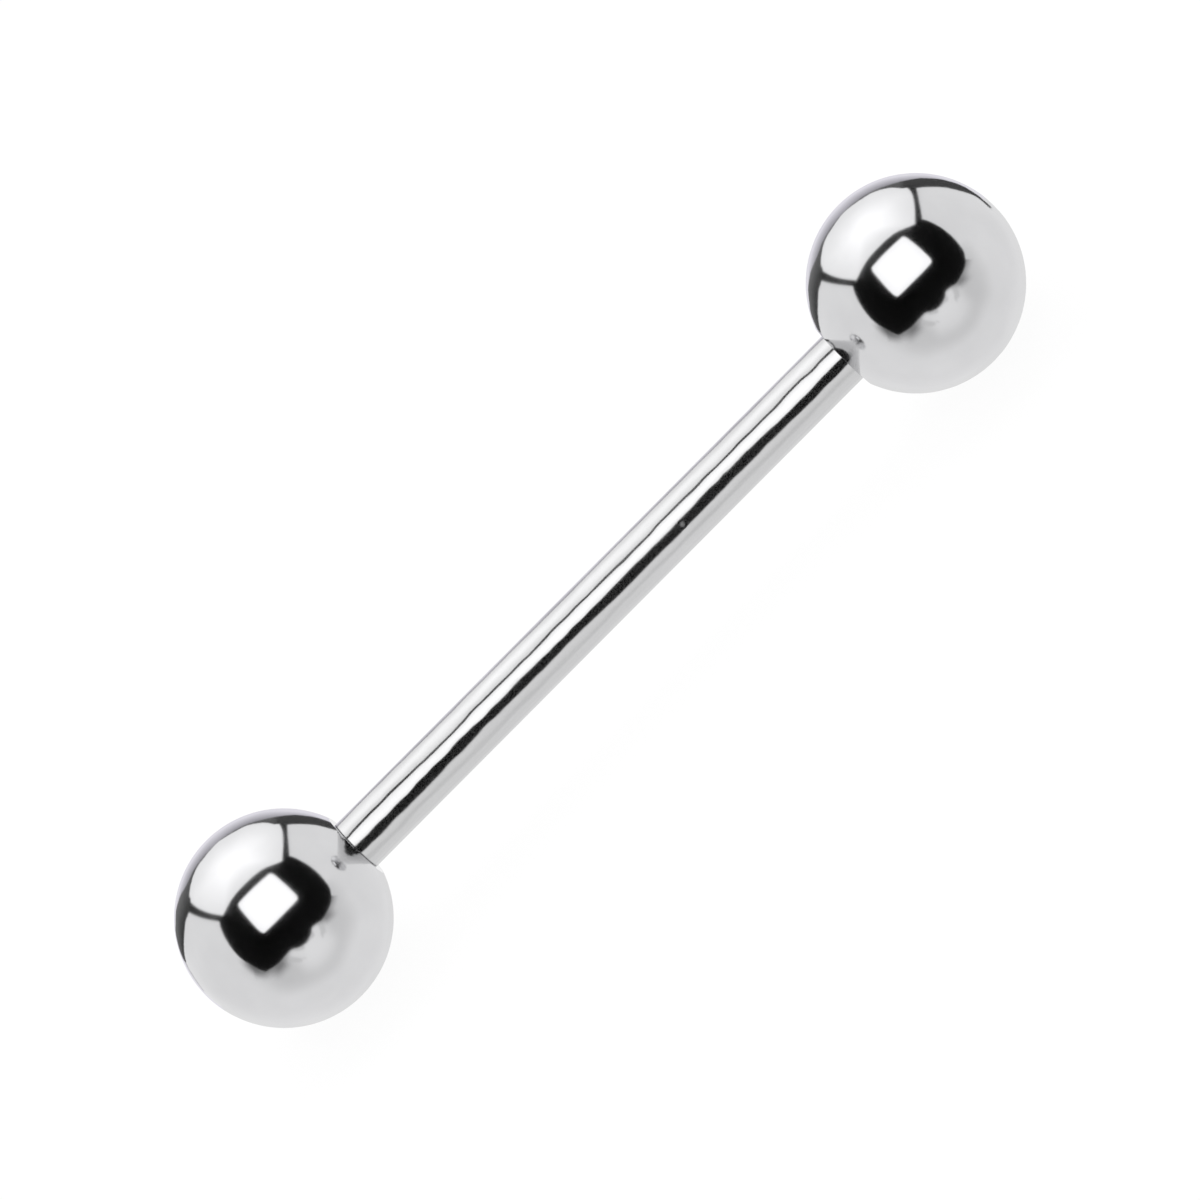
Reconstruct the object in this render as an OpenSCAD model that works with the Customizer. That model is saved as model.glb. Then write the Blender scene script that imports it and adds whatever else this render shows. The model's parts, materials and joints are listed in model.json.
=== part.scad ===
// Straight tongue barbell: a polished steel bar with a ball screwed onto each end.
// The bar lies along X, resting on its two balls. Z = 0 is the surface that it lies on,
// and X = 0, Y = 0 is half way along the bar. All sizes are in millimetres.

/* [Bar] */
// Diameter of the bar, 1.6 mm being 14 gauge
bar_d = 1.6; // [1.5:0.05:2]
// Length of the bar between its two shoulders
bar_length = 18.8; // [12:0.2:30]
// Width of the edge break round each shoulder of the bar
shoulder_break = 0.06; // [0.02:0.01:0.07]

/* [Balls] */
// Diameter of each ball
ball_d = 6; // [5:0.25:8]
// Diameter of the flat that each ball has round its hole
seat_d = 2.12; // [2.06:0.02:2.4]
// Gap between the bar's shoulder and the ball's flat
seat_gap = 0.02; // [0.01:0.01:0.05]

/* [Thread] */
// Outer diameter of the thread on each stud
thread_d = 1.2; // [1.1:0.05:1.2]
// Distance from one thread crest to the next
thread_pitch = 0.25; // [0.2:0.05:0.3]
// Length of each threaded stud, from the shoulder to its tip
stud_length = 3; // [2.5:0.1:3.2]
// Depth of each tapped hole, from the ball's flat to where its point begins
hole_depth = 3.3; // [3.3:0.1:3.6]
// Radial clearance between the stud's crests and the wall of the tapped hole
thread_clearance = 0.02; // [0.01:0.01:0.04]

/* [Hidden] */
$fn = 96;

// Steel as the photograph shows it, the bar a shade darker than the balls
bar_colour = [0.74, 0.74, 0.76];
ball_colour = [0.84, 0.84, 0.86];

bar_r = bar_d / 2;
ball_r = ball_d / 2;
seat_r = seat_d / 2;
crest_r = thread_d / 2;

// A sharp-crested 60 degree thread is this share of its pitch deep, from crest to root
thread_depth = 0.6134 * thread_pitch;
root_r = crest_r - thread_depth;
// Width along the bar of each crest's narrow flat and of each root's narrow flat
crest_flat = thread_pitch / 8;
root_flat = thread_pitch / 4;
// Plain neck between the shoulder and the first crest, where the thread runs out
neck_length = 1.2 * thread_pitch;
// The last stretch of the stud is plain, with its edge broken, and leads the thread into the hole
lead_length = thread_depth;
tip_break = 0.1;
thread_turns = floor((stud_length - neck_length - lead_length) / thread_pitch);

hole_r = crest_r + thread_clearance;
// The mouth of the hole is countersunk, but stays narrower than the bar's shoulder
countersink_depth = 0.05;
// A twist drill leaves a cone of 118 degrees at the bottom of its hole
drill_point_angle = 118;
drill_point_depth = hole_r / tan(drill_point_angle / 2);
// How far a cutting shape runs past the face that it cuts
overcut = 0.5;

shoulder_x = bar_length / 2;
// Distance from a ball's centre to its flat
flat_from_centre = sqrt(ball_r * ball_r - seat_r * seat_r);
ball_x = shoulder_x + seat_gap + flat_from_centre;
axis_height = ball_r;

// One thread crest in the half-profile of the stud, starting at distance x from the shoulder
function crest_points(x) = [
    [root_r, x],
    [crest_r, x + (thread_pitch - crest_flat - root_flat) / 2],
    [crest_r, x + (thread_pitch + crest_flat - root_flat) / 2],
    [root_r, x + thread_pitch - root_flat],
];

// Half-profile of the whole stud, as [radius, distance from the shoulder]
stud_profile = concat(
    [[0, -overcut], [root_r, -overcut]],
    [for (turn = [0 : thread_turns - 1]) each crest_points(neck_length + turn * thread_pitch)],
    [[root_r, stud_length - tip_break], [root_r - tip_break, stud_length], [0, stud_length]]
);

// A stud that points up from z = 0, its root sunk by the overcut into what carries it
module threaded_stud() {
    rotate_extrude() polygon(stud_profile);
}

// The plain length of the bar, along Z and centred, with its edge broken at both shoulders
module bar_shank() {
    rotate_extrude() polygon([
        [0, -shoulder_x],
        [bar_r - shoulder_break, -shoulder_x],
        [bar_r, -shoulder_x + shoulder_break],
        [bar_r, shoulder_x - shoulder_break],
        [bar_r - shoulder_break, shoulder_x],
        [0, shoulder_x],
    ]);
}

// A blind tapped hole that runs up from z = 0, with a countersunk mouth and a drilled point
module tapped_hole() {
    translate([0, 0, -overcut]) cylinder(r = hole_r, h = hole_depth + overcut);
    translate([0, 0, hole_depth]) cylinder(r1 = hole_r, r2 = 0, h = drill_point_depth);
    translate([0, 0, -overcut])
        cylinder(r1 = hole_r + countersink_depth + overcut, r2 = hole_r,
                 h = countersink_depth + overcut);
}

// A ball with its flat facing down, at a distance of flat_from_centre below its centre
module screw_on_ball() {
    difference() {
        sphere(r = ball_r);
        translate([0, 0, -flat_from_centre - ball_r]) cube(2 * ball_r, center = true);
        translate([0, 0, -flat_from_centre]) tapped_hole();
    }
}

module bar() {
    color(bar_colour) translate([0, 0, axis_height]) rotate([0, 90, 0]) {
        bar_shank();
        for (end = [0, 1]) mirror([0, 0, end]) translate([0, 0, shoulder_x]) threaded_stud();
    }
}

module ball_right() {
    color(ball_colour) translate([ball_x, 0, axis_height]) rotate([0, 90, 0]) screw_on_ball();
}

module ball_left() {
    color(ball_colour) translate([-ball_x, 0, axis_height]) rotate([0, -90, 0]) screw_on_ball();
}

bar();
ball_left();
ball_right();
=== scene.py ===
# %% [markdown]
# A straight piercing barbell in polished steel.
#
# The object is a round bar with a ball screwed onto each end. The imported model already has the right
# sizes and places, so no size of the metal is measured by eye here: the script loads that model as a
# fixed frame, reads its boxes, and turns finer skins of the same shape in their place. Polished steel
# is a mirror, so the second half of the lesson builds the white tent that the steel mirrors.

# %% Load the frame
import json
import math

import bpy
from mathutils import Matrix, Vector

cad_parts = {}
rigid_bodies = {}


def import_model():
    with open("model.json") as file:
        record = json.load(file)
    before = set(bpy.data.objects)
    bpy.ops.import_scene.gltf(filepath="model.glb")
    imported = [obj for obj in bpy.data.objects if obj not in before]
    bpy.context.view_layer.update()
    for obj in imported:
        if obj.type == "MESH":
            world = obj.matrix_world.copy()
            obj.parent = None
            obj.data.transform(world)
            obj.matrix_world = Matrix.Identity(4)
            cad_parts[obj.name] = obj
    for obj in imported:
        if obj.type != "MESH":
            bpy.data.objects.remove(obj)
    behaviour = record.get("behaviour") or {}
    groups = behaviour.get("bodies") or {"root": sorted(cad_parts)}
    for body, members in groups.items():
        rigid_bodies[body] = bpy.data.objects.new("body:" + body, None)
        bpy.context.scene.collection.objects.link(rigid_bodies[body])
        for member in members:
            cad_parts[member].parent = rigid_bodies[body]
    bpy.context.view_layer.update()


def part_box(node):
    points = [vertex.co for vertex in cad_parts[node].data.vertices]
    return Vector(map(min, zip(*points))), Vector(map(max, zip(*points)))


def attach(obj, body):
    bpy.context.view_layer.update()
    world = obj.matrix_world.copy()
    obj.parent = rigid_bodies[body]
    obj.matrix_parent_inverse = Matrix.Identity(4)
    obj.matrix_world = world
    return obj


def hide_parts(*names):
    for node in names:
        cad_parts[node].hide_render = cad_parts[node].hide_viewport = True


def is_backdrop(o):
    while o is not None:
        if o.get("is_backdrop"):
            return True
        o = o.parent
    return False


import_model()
MM = 0.001

# %% [markdown]
# Sizes come from the frame.
#
# A box gives the lowest and highest corner of a piece. The height of the bar's box is its diameter,
# and the height of a ball's box is the ball's. A ball's box starts at the small flat that the bar's
# shoulder seats against, so the flat and the ball's centre follow from two corners. Only what no box
# can tell, such as the pitch of the thread, is written down here as a size of its own.
#
# The solids keep 0.02 mm between the shoulder and the flat. A tightened ball shows no slit there, so
# the skin of the bar is drawn up closer to the flat, still without touching it.

# %% Sizes of the barbell
bar_low, bar_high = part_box("bar")
ball_low, ball_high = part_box("ball_right")

BAR_RADIUS = (bar_high.z - bar_low.z) / 2
BALL_RADIUS = (ball_high.z - ball_low.z) / 2
AXIS_HEIGHT = BALL_RADIUS
TIP_X = bar_high.x
FLAT_X = ball_low.x
BALL_X = ball_high.x - BALL_RADIUS
SEAT_RADIUS = math.sqrt(BALL_RADIUS**2 - (BALL_X - FLAT_X) ** 2)
SEAT_GAP = 0.004 * MM
SHOULDER_X = FLAT_X - SEAT_GAP
print(f"bar {2 * BAR_RADIUS / MM:.2f} mm, ball {2 * BALL_RADIUS / MM:.2f} mm")
print(f"flat {2 * SEAT_RADIUS / MM:.2f} mm across, shoulder {SHOULDER_X / MM:.2f} mm from the middle")

# %% Sizes of the thread and its hole
PITCH = 0.25 * MM
CREST_RADIUS = 0.6 * MM
THREAD_DEPTH = 0.6134 * PITCH
ROOT_RADIUS = CREST_RADIUS - THREAD_DEPTH
NECK_LENGTH = 1.2 * PITCH
TIP_BREAK = 0.1 * MM
LEAD_LENGTH = 1.5 * TIP_BREAK
HOLE_RADIUS = 0.62 * MM
HOLE_DEPTH = 3.3 * MM
GROOVE_DEPTH = 0.08 * MM
COUNTERSINK = 0.05 * MM
DRILL_POINT = math.radians(118)
print(f"thread {2 * CREST_RADIUS / MM:.1f} by {PITCH / MM:.2f} mm, {THREAD_DEPTH / MM:.3f} mm deep")

# %% [markdown]
# A lathe for rows.
#
# Everything on this barbell is turned: the bar on a lathe, the balls between grinding plates and
# then drilled along the same axis. A modifier could spin an outline, but it makes plain rings, and a
# thread is not a ring. So the skin is laid down row by row. Each row has a place along the axis, a
# radius, and a depth of thread, and a small function lifts the row where the thread's crest passes.

# %% The wave of a right-handed thread
COLUMNS = 128
CREST_SHARE = 1 / 8
ROOT_SHARE = 1 / 4


def smooth_step(share):
    """A share from 0 to 1 that starts and stops gently."""
    share = min(1.0, max(0.0, share))
    return share * share * (3 - 2 * share)


def thread_wave(x, turn):
    """Height of the thread, from 0 at a root to 1 at a crest, at x and at that share of a turn."""
    phase = (x / PITCH - turn) % 1
    from_crest = abs(2 * phase - 1)
    return 1 - smooth_step((from_crest - CREST_SHARE) / (1 - ROOT_SHARE - CREST_SHARE))


print(f"wave: {thread_wave(0, 0):.0f} at a root, {thread_wave(PITCH / 2, 0):.0f} half a pitch on")

# %% Turn rows into one closed skin
def turned_ring(x, radius, depth):
    """Points of one row about the barbell's axis; a row of no radius is a single point."""
    if radius == 0:
        return [(x, 0.0, AXIS_HEIGHT)]
    ring = []
    for column in range(COLUMNS):
        turn = column / COLUMNS
        reach = radius + depth * thread_wave(x, turn)
        angle = turn * math.tau
        ring.append((x, reach * math.cos(angle), AXIS_HEIGHT + reach * math.sin(angle)))
    return ring


def turned_skin(name, rows):
    """A smooth closed mesh from rows of (x, radius, thread depth)."""
    points, rings, faces = [], [], []
    for row in rows:
        ring = turned_ring(*row)
        first = len(points)
        points += ring
        rings.append([first + column % len(ring) for column in range(COLUMNS)])
    for near, far in zip(rings, rings[1:]):
        for column in range(COLUMNS):
            after = (column + 1) % COLUMNS
            corners = [near[column], near[after], far[after], far[column]]
            faces.append(list(dict.fromkeys(corners)))
    mesh = bpy.data.meshes.new(name)
    mesh.from_pydata(points, [], faces)
    mesh.shade_smooth()
    piece = bpy.data.objects.new(name, mesh)
    bpy.context.scene.collection.objects.link(piece)
    print(f"{name}: {len(rows)} rows, {len(faces)} faces")
    return piece


# %% [markdown]
# Edges that catch light.
#
# No real edge is sharp. A bevel modifier could round them, but it would also round the thread. So
# each corner of an outline is traded for a short curve, with a holding row on both sides of it, and
# smooth shading stays flat on the faces and bends only at the edge.

# %% Take the corners off an outline
CURVE_STEPS = 4
HOLD = 2


def eased(corners):
    """Rows along (x, radius, reach) corners; the first and last only give the direction."""
    rows = []
    for before, corner, after in zip(corners, corners[1:], corners[2:]):
        place = Vector(corner[:2])
        reach = corner[2]
        back = (Vector(before[:2]) - place).normalized() * reach
        ahead = (Vector(after[:2]) - place).normalized() * reach
        rows.append(place + HOLD * back)
        for step in range(CURVE_STEPS + 1):
            share = step / CURVE_STEPS
            first = (place + back).lerp(place, share)
            second = place.lerp(place + ahead, share)
            rows.append(first.lerp(second, share))
        rows.append(place + HOLD * ahead)
    return [(row.x, row.y, 0.0) for row in rows]


print("rows for one corner:", len(eased([(0, 1), (1, 1, 0.1), (1, 0)])))

# %% Run a thread along a cylinder
ROWS_PER_PITCH = 10


def thread_rows(start, end, radius, depth):
    """Rows of thread from start to end, either way along the bar, fading in and out over a pitch."""
    steps = round(ROWS_PER_PITCH * abs(end - start) / PITCH)
    rows = []
    for step in range(steps + 1):
        x = start + (end - start) * step / steps
        fade = min(1.0, abs(x - start) / PITCH, abs(end - x) / PITCH)
        rows.append((x, radius, depth * smooth_step(fade)))
    return rows


print("rows for four turns:", len(thread_rows(0, 4 * PITCH, ROOT_RADIUS, THREAD_DEPTH)))

# %% [markdown]
# The bar.
#
# The real bar is one length of 1.6 mm wire. Its middle is polished, and each end is turned down to a
# stud and threaded, with a plain neck where the die stops. Half of it is laid out here, from the
# middle to the tip, and the other half is its mirror image. The mirror image is of the rows alone:
# the thread is still worked out from the true place along the bar, so it stays right-handed at both
# ends, as on the real one.

# %% Lay out half of the bar
SHANK_ROWS = 40
SHOULDER_EASE = 0.02 * MM
FINE_EASE = 0.012 * MM


def half_bar_rows():
    shank_end = SHOULDER_X - (HOLD + 1) * SHOULDER_EASE
    rows = [(shank_end * step / SHANK_ROWS, BAR_RADIUS, 0.0) for step in range(SHANK_ROWS + 1)]
    rows += eased([
        (0, BAR_RADIUS),
        (SHOULDER_X, BAR_RADIUS, SHOULDER_EASE),
        (SHOULDER_X, ROOT_RADIUS, FINE_EASE),
        (TIP_X, ROOT_RADIUS),
    ])
    rows += thread_rows(SHOULDER_X + NECK_LENGTH, TIP_X - LEAD_LENGTH, ROOT_RADIUS, THREAD_DEPTH)
    rows += eased([
        (SHOULDER_X, ROOT_RADIUS),
        (TIP_X - TIP_BREAK, ROOT_RADIUS, FINE_EASE),
        (TIP_X, ROOT_RADIUS - TIP_BREAK, FINE_EASE),
        (TIP_X, 0),
    ])
    return rows + [(TIP_X, 0, 0.0)]


half_bar = half_bar_rows()
print("rows from the bar's middle to its tip:", len(half_bar))

# %% Turn the bar
def mirrored(rows):
    """The same rows on the other side of the barbell's middle."""
    return [(-x, radius, depth) for x, radius, depth in reversed(rows)]


bar = turned_skin("polished_bar", mirrored(half_bar[1:]) + half_bar)
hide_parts("bar")
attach(bar, "bar")

# %% [markdown]
# The balls.
#
# A ball starts as a ground steel ball. A flat is faced on it, a hole is drilled and tapped in the
# middle of the flat, and the mouth of the hole is countersunk so that the stud finds its way in. The
# outline runs in that order from the inside: the drill's point, the tapped wall, the mouth, the
# flat, and then the long curve of the ball to its far pole. Cutting the hole out of a ball with a
# boolean would leave long thin faces round it, which show in a mirror, and rows leave none.

# %% Lay out a ball
BALL_ROWS = 90


def ball_rows():
    hole_end = FLAT_X + HOLE_DEPTH
    point_x = hole_end + HOLE_RADIUS / math.tan(DRILL_POINT / 2)
    rows = [(point_x, 0, 0.0)]
    rows += eased([
        (point_x, 0),
        (hole_end, HOLE_RADIUS, FINE_EASE),
        (FLAT_X, HOLE_RADIUS),
    ])
    rows += thread_rows(hole_end - PITCH, FLAT_X + 2 * COUNTERSINK, HOLE_RADIUS, GROOVE_DEPTH)
    seat_angle = math.asin(SEAT_RADIUS / BALL_RADIUS)
    seat_tangent = (FLAT_X + math.sin(seat_angle) * MM, SEAT_RADIUS + math.cos(seat_angle) * MM)
    rows += eased([
        (hole_end, HOLE_RADIUS),
        (FLAT_X + COUNTERSINK, HOLE_RADIUS, FINE_EASE),
        (FLAT_X, HOLE_RADIUS + COUNTERSINK, FINE_EASE),
        (FLAT_X, SEAT_RADIUS, FINE_EASE),
        seat_tangent,
    ])
    for step in range(1, BALL_ROWS):
        angle = seat_angle + (math.pi - seat_angle) * step / BALL_ROWS
        rows.append((BALL_X - BALL_RADIUS * math.cos(angle), BALL_RADIUS * math.sin(angle), 0.0))
    return rows + [(BALL_X + BALL_RADIUS, 0, 0.0)]


right_rows = ball_rows()
print("rows from the drill's point to the ball's far pole:", len(right_rows))

# %% Turn both balls
ball_right = turned_skin("screw_ball_right", right_rows)
ball_left = turned_skin("screw_ball_left", mirrored(right_rows))
for ball, body in ((ball_right, "ball_right"), (ball_left, "ball_left")):
    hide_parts(body)
    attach(ball, body)

# %% [markdown]
# Polished steel.
#
# Surgical steel is polished until it mirrors, but never perfectly. Buffing leaves a faint orange
# peel on a ball, and long shallow waves along a bar, which make the edges of what it mirrors
# wander. Fine wear makes the polish a little duller in cloudy patches. A scanned texture would need
# to be wrapped round the pieces. Noise in the object's own coordinates needs no wrapping, and gives
# each of these its real size in millimetres.

# %% Clouds of noise at a real size
CLOUD_LOW = 0.3
CLOUD_HIGH = 0.7


def cloud(tree, size, detail, stretch=(1, 1, 1)):
    """Noise whose clouds are about size metres across, drawn out by stretch along X, Y and Z."""
    place = tree.nodes.new("ShaderNodeTexCoord")
    drawn = tree.nodes.new("ShaderNodeMapping")
    drawn.inputs["Scale"].default_value = [1 / factor for factor in stretch]
    noise = tree.nodes.new("ShaderNodeTexNoise")
    noise.inputs["Scale"].default_value = 1 / size
    noise.inputs["Detail"].default_value = detail
    tree.links.new(place.outputs["Object"], drawn.inputs["Vector"])
    tree.links.new(drawn.outputs["Vector"], noise.inputs["Vector"])
    return noise.outputs["Fac"]


def spread(tree, cloudy, low, high):
    """Turns the noise's middle values into a number between low and high."""
    ranged = tree.nodes.new("ShaderNodeMapRange")
    ranged.inputs["From Min"].default_value = CLOUD_LOW
    ranged.inputs["From Max"].default_value = CLOUD_HIGH
    ranged.inputs["To Min"].default_value = low
    ranged.inputs["To Max"].default_value = high
    tree.links.new(cloudy, ranged.inputs["Value"])
    return ranged.outputs["Result"]


def tinted(tree, cloudy, dull, bright):
    """Mixes two close greys by the noise."""
    ramp = tree.nodes.new("ShaderNodeValToRGB")
    ramp.color_ramp.elements[0].position = CLOUD_LOW
    ramp.color_ramp.elements[0].color = (*dull, 1)
    ramp.color_ramp.elements[1].position = CLOUD_HIGH
    ramp.color_ramp.elements[1].color = (*bright, 1)
    tree.links.new(cloudy, ramp.inputs["Fac"])
    return ramp.outputs["Color"]


# %% Relief and bare steel
def relief(tree, cloudy, depth, over=None):
    """A bump of that real depth in metres, laid over another bump if there is one."""
    bump = tree.nodes.new("ShaderNodeBump")
    bump.inputs["Distance"].default_value = depth
    tree.links.new(cloudy, bump.inputs["Height"])
    if over is not None:
        tree.links.new(over, bump.inputs["Normal"])
    return bump.outputs["Normal"]


def new_steel(name, metal=1.0):
    steel = bpy.data.materials.new(name)
    steel.use_nodes = True
    shader = steel.node_tree.nodes["Principled BSDF"]
    shader.inputs["Metallic"].default_value = metal
    return steel, steel.node_tree, shader


# %% Steel of the balls
BALL_WEAR_SIZE = 1.6 * MM
BALL_DULL = (0.635, 0.635, 0.645)
BALL_BRIGHT = (0.685, 0.685, 0.695)
BALL_ROUGHNESS = (0.08, 0.11)
PEEL_SIZE = 0.9 * MM
PEEL_DEPTH = 0.0012 * MM


def ball_steel():
    steel, tree, shader = new_steel("buffed_steel")
    wear = cloud(tree, BALL_WEAR_SIZE, detail=3)
    peel = cloud(tree, PEEL_SIZE, detail=1)
    tree.links.new(tinted(tree, wear, BALL_DULL, BALL_BRIGHT), shader.inputs["Base Color"])
    tree.links.new(spread(tree, wear, *BALL_ROUGHNESS), shader.inputs["Roughness"])
    tree.links.new(relief(tree, peel, PEEL_DEPTH), shader.inputs["Normal"])
    return steel


buffed_steel = ball_steel()
for ball in (ball_right, ball_left):
    ball.data.materials.append(buffed_steel)
    print(ball.name, "is made of", ball.data.materials[0].name)

# %% [markdown]
# A bar that has been worn.
#
# The bar is duller than the balls. Fine scratches scatter a little light, so even the black that it
# mirrors is dark grey, and a touch less metal in the shader gives that haze. Three reliefs lie over
# each other: long waves, short ripples, and one small nick on its side, which is also rougher than
# the polish round it. A dent in the mesh would need far more faces than the rest of the bar.

# %% A small nick
NICK_PLACE = (3.13 * MM, -0.756 * MM, 3.26 * MM)
NICK_REACH = 0.14 * MM
NICK_DEPTH = 0.01 * MM
NICK_ROUGHNESS = 0.42


def nick(tree):
    """A small dent on the side of the bar: 0 at its middle and 1 from its edge outwards."""
    place = tree.nodes.new("ShaderNodeTexCoord")
    apart = tree.nodes.new("ShaderNodeVectorMath")
    apart.operation = "DISTANCE"
    apart.inputs[1].default_value = NICK_PLACE
    dent = tree.nodes.new("ShaderNodeMapRange")
    dent.interpolation_type = "SMOOTHSTEP"
    dent.inputs["From Max"].default_value = NICK_REACH
    tree.links.new(place.outputs["Object"], apart.inputs[0])
    tree.links.new(apart.outputs["Value"], dent.inputs["Value"])
    return dent.outputs["Result"]


def scuffed(tree, dent, polish):
    """The polish's roughness, but rougher inside the dent."""
    rougher = tree.nodes.new("ShaderNodeMapRange")
    rougher.inputs["To Min"].default_value = NICK_ROUGHNESS
    tree.links.new(dent, rougher.inputs["Value"])
    tree.links.new(polish, rougher.inputs["To Max"])
    return rougher.outputs["Result"]


print("nick at", [round(side / MM, 2) for side in NICK_PLACE], "mm")

# %% Steel of the bar
BAR_METAL = 0.97
BAR_WEAR_SIZE = 0.5 * MM
BAR_WEAR_STRETCH = (6, 1, 1)
BAR_DULL = (0.58, 0.58, 0.585)
BAR_BRIGHT = (0.62, 0.62, 0.625)
BAR_ROUGHNESS = (0.11, 0.15)
WAVE_SIZE = 0.9 * MM
WAVE_STRETCH = (3, 1, 1)
WAVE_DEPTH = 0.055 * MM
RIPPLE_SIZE = 0.45 * MM
RIPPLE_DEPTH = 0.012 * MM


def bar_steel():
    steel, tree, shader = new_steel("drawn_steel", BAR_METAL)
    wear = cloud(tree, BAR_WEAR_SIZE, detail=3, stretch=BAR_WEAR_STRETCH)
    tree.links.new(tinted(tree, wear, BAR_DULL, BAR_BRIGHT), shader.inputs["Base Color"])
    dent = nick(tree)
    polish = spread(tree, wear, *BAR_ROUGHNESS)
    tree.links.new(scuffed(tree, dent, polish), shader.inputs["Roughness"])
    waves = cloud(tree, WAVE_SIZE, detail=1, stretch=WAVE_STRETCH)
    ripples = cloud(tree, RIPPLE_SIZE, detail=0)
    wavy = relief(tree, waves, WAVE_DEPTH)
    rippled = relief(tree, ripples, RIPPLE_DEPTH, over=wavy)
    tree.links.new(relief(tree, dent, NICK_DEPTH, over=rippled), shader.inputs["Normal"])
    return steel


bar.data.materials.append(bar_steel())
print(bar.name, "is made of", bar.data.materials[0].name)

# %% [markdown]
# The camera.
#
# The barbell is seen from 28 degrees above the surface and from 0.4 metres away, with the end of
# ball_right turned a few degrees nearer. Then the camera is rolled, so that the bar climbs to the
# upper right of the picture. The roll turns only the picture: the barbell still lies flat. The lens
# follows from how many pixels a millimetre takes, which is easier to measure than a lens is. The
# barbell isn't quite in the middle of the picture, so the camera is moved a hair to the right and up.

# %% Where the camera looks from
CAMERA_DISTANCE = 0.4
ELEVATION = math.radians(28)
NEARER_END = math.radians(3.5)

middle = Vector((0, 0, AXIS_HEIGHT))
towards = Vector((
    math.sin(NEARER_END),
    -math.cos(NEARER_END) * math.cos(ELEVATION),
    math.cos(NEARER_END) * math.sin(ELEVATION),
))
along_bar = Vector((1, 0, 0))
along_bar = (along_bar - along_bar.dot(towards) * towards).normalized()
above_bar = towards.cross(along_bar)
camera_place = middle + towards * CAMERA_DISTANCE
print("camera at", [round(side, 3) for side in camera_place])

# %% Set up the camera
BAR_SLOPE = math.radians(45.13)
IMAGE_WIDTH = 1200
PIXELS_PER_MM = 36.7
SENSOR_WIDTH = 36
CLIP_START = 0.01
AIM_RIGHT = 0.018 * MM
AIM_UP = 0.035 * MM

camera_data = bpy.data.cameras.new("camera")
camera_data.sensor_width = SENSOR_WIDTH
camera_data.lens = SENSOR_WIDTH * CAMERA_DISTANCE * PIXELS_PER_MM / (IMAGE_WIDTH * MM)
camera_data.clip_start = CLIP_START
camera = bpy.data.objects.new("camera", camera_data)
bpy.context.scene.collection.objects.link(camera)

image_right = along_bar * math.cos(BAR_SLOPE) - above_bar * math.sin(BAR_SLOPE)
image_up = along_bar * math.sin(BAR_SLOPE) + above_bar * math.cos(BAR_SLOPE)
aimed_place = camera_place + image_right * AIM_RIGHT + image_up * AIM_UP
turned = Matrix((image_right, image_up, towards)).transposed().to_4x4()
camera.matrix_world = Matrix.Translation(aimed_place) @ turned
bpy.context.scene.camera = camera
print(f"lens {camera_data.lens:.0f} mm at {CAMERA_DISTANCE} m")

# %% [markdown]
# The floor.
#
# The floor is pale and shines a little by itself, so that it stays almost white and shows only the
# faintest shadow where a ball touches it. A painted floor under lamps would need very strong ones to
# look as white. It is hidden from the steel, because the tent that follows has a floor of its own.
# The world behind it is white too, and so the floor has no visible edge.

# %% Lay the floor
FLOOR_SIDE = 4.0
FLOOR_SHINE = 0.93
FLOOR_PAINT = 0.1
WHITE = (1, 1, 1, 1)


def floor_paint():
    paint = bpy.data.materials.new("floor_paint")
    paint.use_nodes = True
    shader = paint.node_tree.nodes["Principled BSDF"]
    shader.inputs["Base Color"].default_value = (FLOOR_PAINT, FLOOR_PAINT, FLOOR_PAINT, 1)
    shader.inputs["Roughness"].default_value = 1.0
    shader.inputs["Specular IOR Level"].default_value = 0.0
    shader.inputs["Emission Color"].default_value = WHITE
    shader.inputs["Emission Strength"].default_value = FLOOR_SHINE
    paint.cycles.emission_sampling = "NONE"
    return paint


half_side = FLOOR_SIDE / 2
floor_corners = [
    (-half_side, -half_side, 0),
    (half_side, -half_side, 0),
    (half_side, half_side, 0),
    (-half_side, half_side, 0),
]
floor_mesh = bpy.data.meshes.new("floor")
floor_mesh.from_pydata(floor_corners, [], [(0, 1, 2, 3)])
floor = bpy.data.objects.new("floor", floor_mesh)
floor.data.materials.append(floor_paint())
bpy.context.scene.collection.objects.link(floor)
floor.visible_glossy = False
floor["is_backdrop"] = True
print(f"floor {FLOOR_SIDE} m square")

# %% Whiten the world
world = bpy.data.worlds.new("white_room")
world.use_nodes = True
world.node_tree.nodes["Background"].inputs["Color"].default_value = WHITE
bpy.context.scene.world = world
bpy.context.scene.view_settings.view_transform = "Standard"
print("world:", world.name)

# %% [markdown]
# The white tent.
#
# Small polished things are lit in a tent of white cloth, with an open front for the camera and a
# lamp beside it. The steel shows all of it: a bright roof, grey walls, dark seams, a black opening
# and the square lamp. The tent could be modelled as it was sewn, but then each change of it would
# have to be guessed backwards from the mirror image. So each sheet is drawn where ball_right mirrors
# it. A place on the ball's disc is two numbers from -1 to 1: how far across it is, along the bar,
# and how far up. A ray through that place finds where the sheet hangs. The sheet then stays there,
# and from any other side the steel mirrors it as it would a real one.

# %% Follow a ray from the camera to the tent
TENT_RADIUS = 1.9
LAYER_STEP = 0.01
ball_centre = Vector((BALL_X, 0, AXIS_HEIGHT))


def crossing(start, direction, centre, radius, far):
    """Where a ray crosses a sphere, on its near or its far side."""
    offset = start - centre
    half = direction.dot(offset)
    reach = math.sqrt(max(0.0, half * half - offset.length_squared + radius * radius))
    return start + direction * (reach - half if far else -reach - half)


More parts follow.
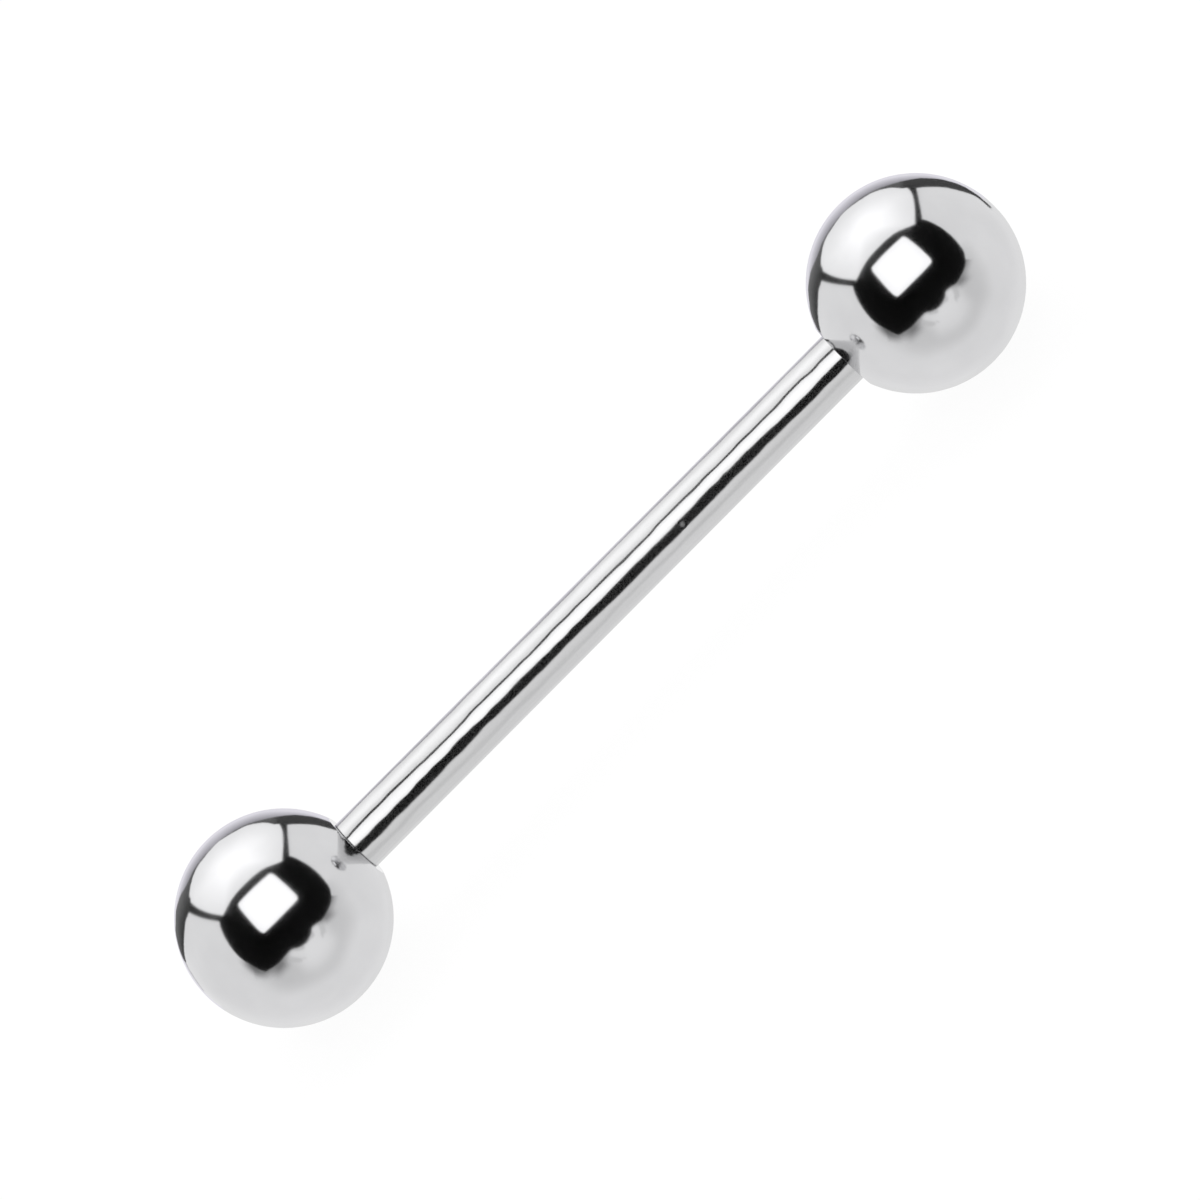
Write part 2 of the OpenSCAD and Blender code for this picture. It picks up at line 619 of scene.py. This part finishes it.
def mirrored_place(across, up, layer):
    """The point on a layer of the tent that ball_right mirrors at (across, up) on its disc."""
    spot = ball_centre + (across * along_bar + up * above_bar) * BALL_RADIUS
    ray = (spot - camera_place).normalized()
    surface = crossing(camera_place, ray, ball_centre, BALL_RADIUS, far=False)
    mirrored_ray = ray.reflect((surface - ball_centre).normalized())
    return crossing(surface, mirrored_ray, middle, TENT_RADIUS - layer * LAYER_STEP, far=True)


print("mirrored at the disc's middle:", [round(side, 2) for side in mirrored_place(0, 0, 0)])

# %% [markdown]
# Cloth that shines.
#
# Real tent cloth glows because lamps shine on it from outside. Here each sheet glows by itself,
# which needs no lamps and gives a clean mirror image. Steel sends back about two thirds of the light
# in the middle of a ball and almost all of it near the rim, so a sheet's light is divided by that
# share, and its grey can be written down as the steel shows it. One material serves every sheet,
# because each corner of a mesh carries its own light and how much it covers what hangs behind.

# %% From greys to light
STEEL_MIRRORS = 0.66
RIM_POWER = 5


def mirror_share(across, up):
    """How much light the steel sends back at a place on its disc."""
    facing = math.sqrt(max(0.0, 1 - across * across - up * up))
    return STEEL_MIRRORS + (1 - STEEL_MIRRORS) * (1 - facing) ** RIM_POWER


def light_of(grey):
    """The light of a grey from 0 to 255, by the standard curve of screens."""
    encoded = grey / 255
    if encoded < 0.04045:
        return encoded / 12.92
    return ((encoded + 0.055) / 1.055) ** 2.4


def shine(grey, tint=(1, 1, 1), mirrors=STEEL_MIRRORS):
    """How bright cloth is that the steel shows as this grey."""
    return [light_of(grey) * share / mirrors for share in tint]


print(f"steel mirrors {mirror_share(0, 0):.2f} in the middle, {mirror_share(0.99, 0):.2f} near the rim")

# %% Weave the cloth
def tent_cloth():
    """Each corner's own colour is its light, and its alpha how much it covers."""
    cloth = bpy.data.materials.new("tent_cloth")
    cloth.use_nodes = True
    tree = cloth.node_tree
    tree.nodes.clear()
    colour = tree.nodes.new("ShaderNodeAttribute")
    colour.attribute_name = "light"
    glow = tree.nodes.new("ShaderNodeEmission")
    clear = tree.nodes.new("ShaderNodeBsdfTransparent")
    mixed = tree.nodes.new("ShaderNodeMixShader")
    output = tree.nodes.new("ShaderNodeOutputMaterial")
    tree.links.new(colour.outputs["Color"], glow.inputs["Color"])
    tree.links.new(colour.outputs["Alpha"], mixed.inputs["Fac"])
    tree.links.new(clear.outputs["BSDF"], mixed.inputs[1])
    tree.links.new(glow.outputs["Emission"], mixed.inputs[2])
    tree.links.new(mixed.outputs["Shader"], output.inputs["Surface"])
    cloth.cycles.emission_sampling = "NONE"
    return cloth


cloth = tent_cloth()
print("cloth:", cloth.name)

# %% Hang a sheet
def hang(name, points, faces, lights):
    """Makes a sheet of the tent, which the camera can't see but the steel and the floor can."""
    mesh = bpy.data.meshes.new(name)
    mesh.from_pydata(points, [], faces)
    light = mesh.attributes.new("light", "FLOAT_COLOR", "POINT")
    light.data.foreach_set("color", [value for corner in lights for value in corner])
    mesh.materials.append(cloth)
    sheet = bpy.data.objects.new(name, mesh)
    bpy.context.scene.collection.objects.link(sheet)
    sheet.visible_camera = False
    sheet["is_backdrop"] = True
    print(f"{name}: {len(faces)} faces")


# %% [markdown]
# Sheets from a few points.
#
# A sheet's edge is drawn through a few points, and a smooth line runs through them. A
# filled sheet shrinks its edge towards a heart in rings, and its light changes from ring to ring. A
# strip runs between two lines in the same way. Where sheets overlap, the one with the higher layer
# hangs nearer to the barbell and hides the others.

# %% A smooth line through points
CURVE_POINTS = 8


def smooth_curve(points, closed):
    """A smooth line through points; at each it heads from the one before it to the one after."""
    count = len(points)
    curve = []
    for index in range(count if closed else count - 1):
        places = [index + step for step in (-1, 0, 1, 2)]
        if closed:
            places = [place % count for place in places]
        else:
            places = [min(max(place, 0), count - 1) for place in places]
        before, start, end, after = [Vector(points[place]) for place in places]
        slope = end - before
        bend = 2 * before - 5 * start + 4 * end - after
        twist = 3 * start - before - 3 * end + after
        for step in range(CURVE_POINTS):
            share = step / CURVE_POINTS
            curve.append(0.5 * (2 * start + slope * share + bend * share * share + twist * share**3))
    if not closed:
        curve.append(Vector(points[-1]))
    return curve


print("points round a smoothed triangle:", len(smooth_curve([(0, 0), (1, 0), (0, 1)], closed=True)))

# %% A sheet made of rings
LAYERS = {
    "backdrop_haze": 1,
    "backdrop": 1,
    "floor_rim": 1,
    "floor_end": 1,
    "roof": 2,
    "seam_left": 3,
    "seam_right": 3,
    "gap_top": 3,
    "gap_right": 3,
    "gap_left": 3,
    "shade": 3,
    "light_pool": 4,
    "hem_shade": 5,
    "shadow_corner": 5,
    "shadow_left": 5.5,
    "shadow_right": 5.5,
    "opening": 6,
    "opening_lip": 6.5,
    "lamp": 8,
}


def sheet_of_rings(name, rings, greys, covers, closed, tint=(1, 1, 1)):
    """A sheet from rings of disc places, each ring with one grey and one cover."""
    points, lights, faces = [], [], []
    count = len(rings[0])
    for ring, grey, cover in zip(rings, greys, covers):
        for across, up in ring:
            points.append(mirrored_place(across, up, LAYERS[name]))
            lights.append((*shine(grey, tint, mirror_share(across, up)), cover))
    for ring in range(len(rings) - 1):
        for step in range(count if closed else count - 1):
            here = ring * count + step
            there = ring * count + (step + 1) % count
            faces.append((here, there, there + count, here + count))
    hang(name, points, faces, lights)


# %% Filled sheets
FILL_SHARES = (1.0, 0.97, 0.94, 0.9, 0.85, 0.8, 0.7, 0.6, 0.45, 0.25, 0.0)


def along(pair, share):
    """The number at a share of the way from the first to the second."""
    return pair[0] + (pair[1] - pair[0]) * share


def filled(name, outline, heart, greys, softness=0):
    """A closed sheet with greys for its edge and its heart, which fades in over softness of the way."""
    curve = smooth_curve(outline, closed=True)
    heart = Vector(heart)
    rings = [[heart.lerp(point, share) for point in curve] for share in FILL_SHARES]
    ring_greys = [along(greys, smooth_step(1 - share)) for share in FILL_SHARES]
    covers = [smooth_step((1 - share) / softness) if softness else 1.0 for share in FILL_SHARES]
    sheet_of_rings(name, rings, ring_greys, covers, closed=True)


# %% Strips
STRIP_SHARES = (0, 0.25, 0.5, 0.75, 1)


def strip(name, first, second, greys, covers=(1, 1), tint=(1, 1, 1)):
    """A sheet between two smooth lines, with a grey and a cover for each line."""
    near = smooth_curve(first, closed=False)
    far = smooth_curve(second, closed=False)
    rings = [[start.lerp(end, share) for start, end in zip(near, far)] for share in STRIP_SHARES]
    ring_greys = [along(greys, share) for share in STRIP_SHARES]
    ring_covers = [along(covers, share) for share in STRIP_SHARES]
    sheet_of_rings(name, rings, ring_greys, ring_covers, closed=False, tint=tint)


# %% [markdown]
# The room of the tent.
#
# A grey ball of cloth closes the whole room, so that no gap in the sheets shows, from any side. The
# rim of a ball mirrors what lies behind it: above, a bright backdrop with a lavender tinge, and
# below, the far end of the tent's floor. Those two run round the disc, so they are strips between
# two arcs. Angles are in degrees, from 0 at the right of the disc over 90 at its top.

# %% The grey walls
WALL_GREY = 211
WALL_ROWS = 24
WALL_COLUMNS = 48


def tent_wall():
    points, faces = [], []
    for row in range(WALL_ROWS + 1):
        rise = math.pi * row / WALL_ROWS
        side = math.sin(rise)
        for column in range(WALL_COLUMNS):
            turn = math.tau * column / WALL_COLUMNS
            outward = Vector((side * math.cos(turn), side * math.sin(turn), math.cos(rise)))
            points.append(middle + outward * TENT_RADIUS)
    for row in range(WALL_ROWS):
        for column in range(WALL_COLUMNS):
            here = row * WALL_COLUMNS + column
            there = row * WALL_COLUMNS + (column + 1) % WALL_COLUMNS
            faces.append((here, there, there + WALL_COLUMNS, here + WALL_COLUMNS))
    hang("tent_wall", points, faces, [(*shine(WALL_GREY), 1.0)] * len(points))


tent_wall()

# %% The bright backdrop and the end of the floor
LAVENDER = (0.985, 0.965, 1.04)
HAZE_END = 0.983
RIM = 0.999
BACKDROP_ENDS = (-8, 200)
FLOOR_ENDS = (188, 366)
FLOOR_START = 0.85
FLOOR_TURN = 0.95
ARC_STEPS = 12


def around(degrees, reach):
    """The place at an angle round the disc, reach being 1 at its rim."""
    return (reach * math.cos(math.radians(degrees)), reach * math.sin(math.radians(degrees)))


def arc(reach, ends):
    start, end = ends
    angles = [start + (end - start) * step / ARC_STEPS for step in range(ARC_STEPS + 1)]
    return [around(degrees, reach) for degrees in angles]


haze_start = [(2, 0.972), (20, 0.957), (40, 0.93), (60, 0.919), (76, 0.915), (90, 0.9),
              (104, 0.915), (120, 0.919), (140, 0.945), (160, 0.97), (178, 0.978)]
haze_inner = [around(degrees, reach) for degrees, reach in haze_start]
haze_outer = [around(degrees, HAZE_END) for degrees, reach in haze_start]
strip("backdrop_haze", haze_inner, haze_outer, greys=(138, 222), tint=LAVENDER)
strip("backdrop", arc(HAZE_END, BACKDROP_ENDS), arc(RIM, BACKDROP_ENDS), greys=(222, 226),
      tint=LAVENDER)
strip("floor_rim", arc(FLOOR_START, FLOOR_ENDS), arc(FLOOR_TURN, FLOOR_ENDS), greys=(211, 218),
      covers=(0, 1))
strip("floor_end", arc(FLOOR_TURN, FLOOR_ENDS), arc(RIM, FLOOR_ENDS), greys=(218, 219))

# %% [markdown]
# The roof and what surrounds it.
#
# The roof is the brightest cloth, because lamps shine through it from above, and it is brightest in
# its middle. Its front edge meets the opening, and two dark seams run from there to its back corners,
# where a wide dark gap parts it from the walls and the backdrop. Each of these is a sheet of its
# own, which is simpler than cutting them all out of one.

# %% The bright roof
roof_front = [(-0.395, 0.415), (-0.37, 0.405), (-0.19, 0.455), (0.0, 0.471), (0.19, 0.455),
              (0.36, 0.395), (0.395, 0.4)]
roof_right = [(0.43, 0.43), (0.495, 0.505), (0.55, 0.59), (0.565, 0.64), (0.555, 0.68)]
roof_back = [(0.5, 0.737), (0.448, 0.777), (0.312, 0.856), (0.158, 0.896), (0.0, 0.9165),
             (-0.158, 0.896), (-0.312, 0.857), (-0.445, 0.771), (-0.495, 0.732)]
roof_left = [(-0.52, 0.7), (-0.52, 0.66), (-0.5, 0.6), (-0.45, 0.505)]
filled("roof", roof_front + roof_right + roof_back + roof_left, (0.02, 0.69), greys=(228, 262))

# %% The dark seams
SEAM_GREYS = (32, 32)
left_wall_side = [(-0.42, 0.385), (-0.512, 0.5), (-0.575, 0.6), (-0.61, 0.67)]
left_roof_side = [(-0.36, 0.40), (-0.44, 0.5), (-0.495, 0.6), (-0.52, 0.7)]
right_wall_side = [(0.455, 0.375), (0.545, 0.5), (0.61, 0.6), (0.64, 0.65)]
right_roof_side = [(0.38, 0.39), (0.486, 0.5), (0.552, 0.6), (0.56, 0.68)]
strip("seam_left", left_wall_side, left_roof_side, SEAM_GREYS)
strip("seam_right", right_wall_side, right_roof_side, SEAM_GREYS)

# %% The dark gap round the roof
def gap(name, sections, greys):
    """A dark strip round the disc from (degrees, inner reach, outer reach) sections."""
    inner = [around(degrees, near) for degrees, near, far in sections]
    outer = [around(degrees, far) for degrees, near, far in sections]
    strip(name, inner, outer, greys)


top_sections = [(52, 0.865, 0.937), (60, 0.897, 0.925), (70, 0.9115, 0.923), (80, 0.91, 0.919),
                (90, 0.9165, 0.9195), (100, 0.91, 0.918), (110, 0.911, 0.925), (120, 0.8895, 0.93),
                (128, 0.86, 0.958)]
right_sections = [(54, 0.872, 0.93), (50, 0.868, 0.938), (45, 0.862, 0.949), (40, 0.874, 0.957),
                  (30, 0.901, 0.9705), (20, 0.926, 0.978), (10, 0.956, 0.975), (0, 0.955, 0.972)]
left_sections = [(125, 0.86, 0.95), (130, 0.847, 0.963), (135, 0.862, 0.973), (140, 0.887, 0.981),
                 (150, 0.92, 0.989), (157, 0.951, 0.988), (162, 0.967, 0.982)]
gap("gap_top", top_sections, greys=(70, 100))
gap("gap_right", right_sections, greys=(56, 66))
gap("gap_left", left_sections, greys=(44, 112))

# %% [markdown]
# The black opening.
#
# The tent is open where the camera looks in, and the room outside is dark, so every ball has a black
# pool in its middle with a wavy hem of cloth below. Where the roof's edge hangs over the opening,
# some of its light spills in, and a lip of dark grey runs along the top.

# %% The opening that the camera looks in through
opening_top = [(-0.41, 0.395), (-0.365, 0.4), (-0.19, 0.455), (0.0, 0.47), (0.19, 0.455),
               (0.355, 0.39), (0.41, 0.39), (0.46, 0.36)]
opening_right = [(0.513, 0.22), (0.532, 0.08), (0.527, -0.02), (0.512, -0.1), (0.47, -0.165)]
opening_hem = [(0.4, -0.218), (0.27, -0.258), (0.2, -0.246), (0.14, -0.243), (0.09, -0.278),
               (0.0, -0.3), (-0.08, -0.28), (-0.14, -0.246), (-0.3, -0.25), (-0.4, -0.232)]
opening_left = [(-0.452, -0.205), (-0.485, -0.1), (-0.511, 0.0), (-0.513, 0.1), (-0.49, 0.23),
                (-0.45, 0.34)]
opening_edge = opening_top + opening_right + opening_hem + opening_left
filled("opening", opening_edge, (0, 0.1), greys=(13, 3))

# %% The lip under the roof's edge
lip_top = [(-0.33, 0.41), (-0.19, 0.455), (0.0, 0.47), (0.19, 0.455), (0.33, 0.4)]
lip_bottom = [(-0.31, 0.33), (-0.19, 0.385), (0.0, 0.39), (0.19, 0.385), (0.32, 0.33)]
strip("opening_lip", lip_top, lip_bottom, greys=(72, 34), covers=(1, 0.2))

# %% [markdown]
# Shades on the tent's floor.
#
# Below the opening the steel mirrors the floor of the tent. It is a little darker under the camera,
# with a pool of lamp light in the middle of that shade, and darkest right below the hem. All of it
# is soft, so these sheets fade in from nothing at their edges.

# %% A wide shade and a pool of light
shade_edge = [(-0.6, -0.02), (-0.6, -0.3), (-0.45, -0.57), (0.0, -0.72), (0.46, -0.57), (0.62, -0.3),
              (0.6, -0.02), (0.0, -0.1)]
pool_edge = [(-0.25, -0.16), (-0.26, -0.42), (-0.22, -0.57), (0.0, -0.65), (0.24, -0.57),
             (0.31, -0.42), (0.3, -0.16)]
filled("shade", shade_edge, (0.0, -0.25), greys=(195, 186), softness=0.3)
filled("light_pool", pool_edge, (0.02, -0.3), greys=(206, 216), softness=0.5)

# %% Dark shades below the hem
hem_line = [(-0.5, -0.13), (-0.44, -0.215), (-0.3, -0.24), (-0.14, -0.235), (0.0, -0.29),
            (0.14, -0.23), (0.27, -0.24), (0.4, -0.2), (0.47, -0.165)]
hem_fade = [(-0.57, -0.21), (-0.47, -0.31), (-0.3, -0.325), (-0.14, -0.275), (0.0, -0.315),
            (0.14, -0.265), (0.27, -0.305), (0.44, -0.275), (0.53, -0.22)]
corner_edge = [(-0.56, 0.04), (-0.46, 0.0), (-0.4, -0.2), (-0.47, -0.3), (-0.56, -0.18)]
left_edge = [(-0.44, -0.2), (-0.2, -0.22), (-0.22, -0.37), (-0.44, -0.37)]
right_edge = [(0.2, -0.2), (0.42, -0.2), (0.42, -0.34), (0.24, -0.34)]
strip("hem_shade", hem_line, hem_fade, greys=(105, 190), covers=(1, 0))
filled("shadow_corner", corner_edge, (-0.48, -0.12), greys=(150, 90), softness=0.9)
filled("shadow_left", left_edge, (-0.31, -0.26), greys=(150, 115), softness=0.9)
filled("shadow_right", right_edge, (0.3, -0.26), greys=(160, 125), softness=0.9)

# %% [markdown]
# The square lamp.
#
# A soft box stands at the opening, next to the camera. Its straight sides look slightly bent in a
# ball, so its edge is drawn bent, with rounded corners. Its grey goes past 255, because the lamp is
# brighter than white and its white stripe on the duller bar has to stay white too.

# %% Hang the lamp
lamp_edge = [(-0.192, 0.37), (-0.165, 0.386), (0.0, 0.393), (0.19, 0.387), (0.221, 0.374),
             (0.236, 0.335), (0.25, 0.2), (0.253, 0.08), (0.243, 0.045), (0.21, 0.03), (0.02, 0.027),
             (-0.18, 0.03), (-0.208, 0.048), (-0.217, 0.09), (-0.214, 0.2), (-0.203, 0.335)]
filled("lamp", lamp_edge, (0.02, 0.2), greys=(252, 276))
stage = sorted(piece.name for piece in bpy.context.scene.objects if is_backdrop(piece))
print("floor and tent:", stage)
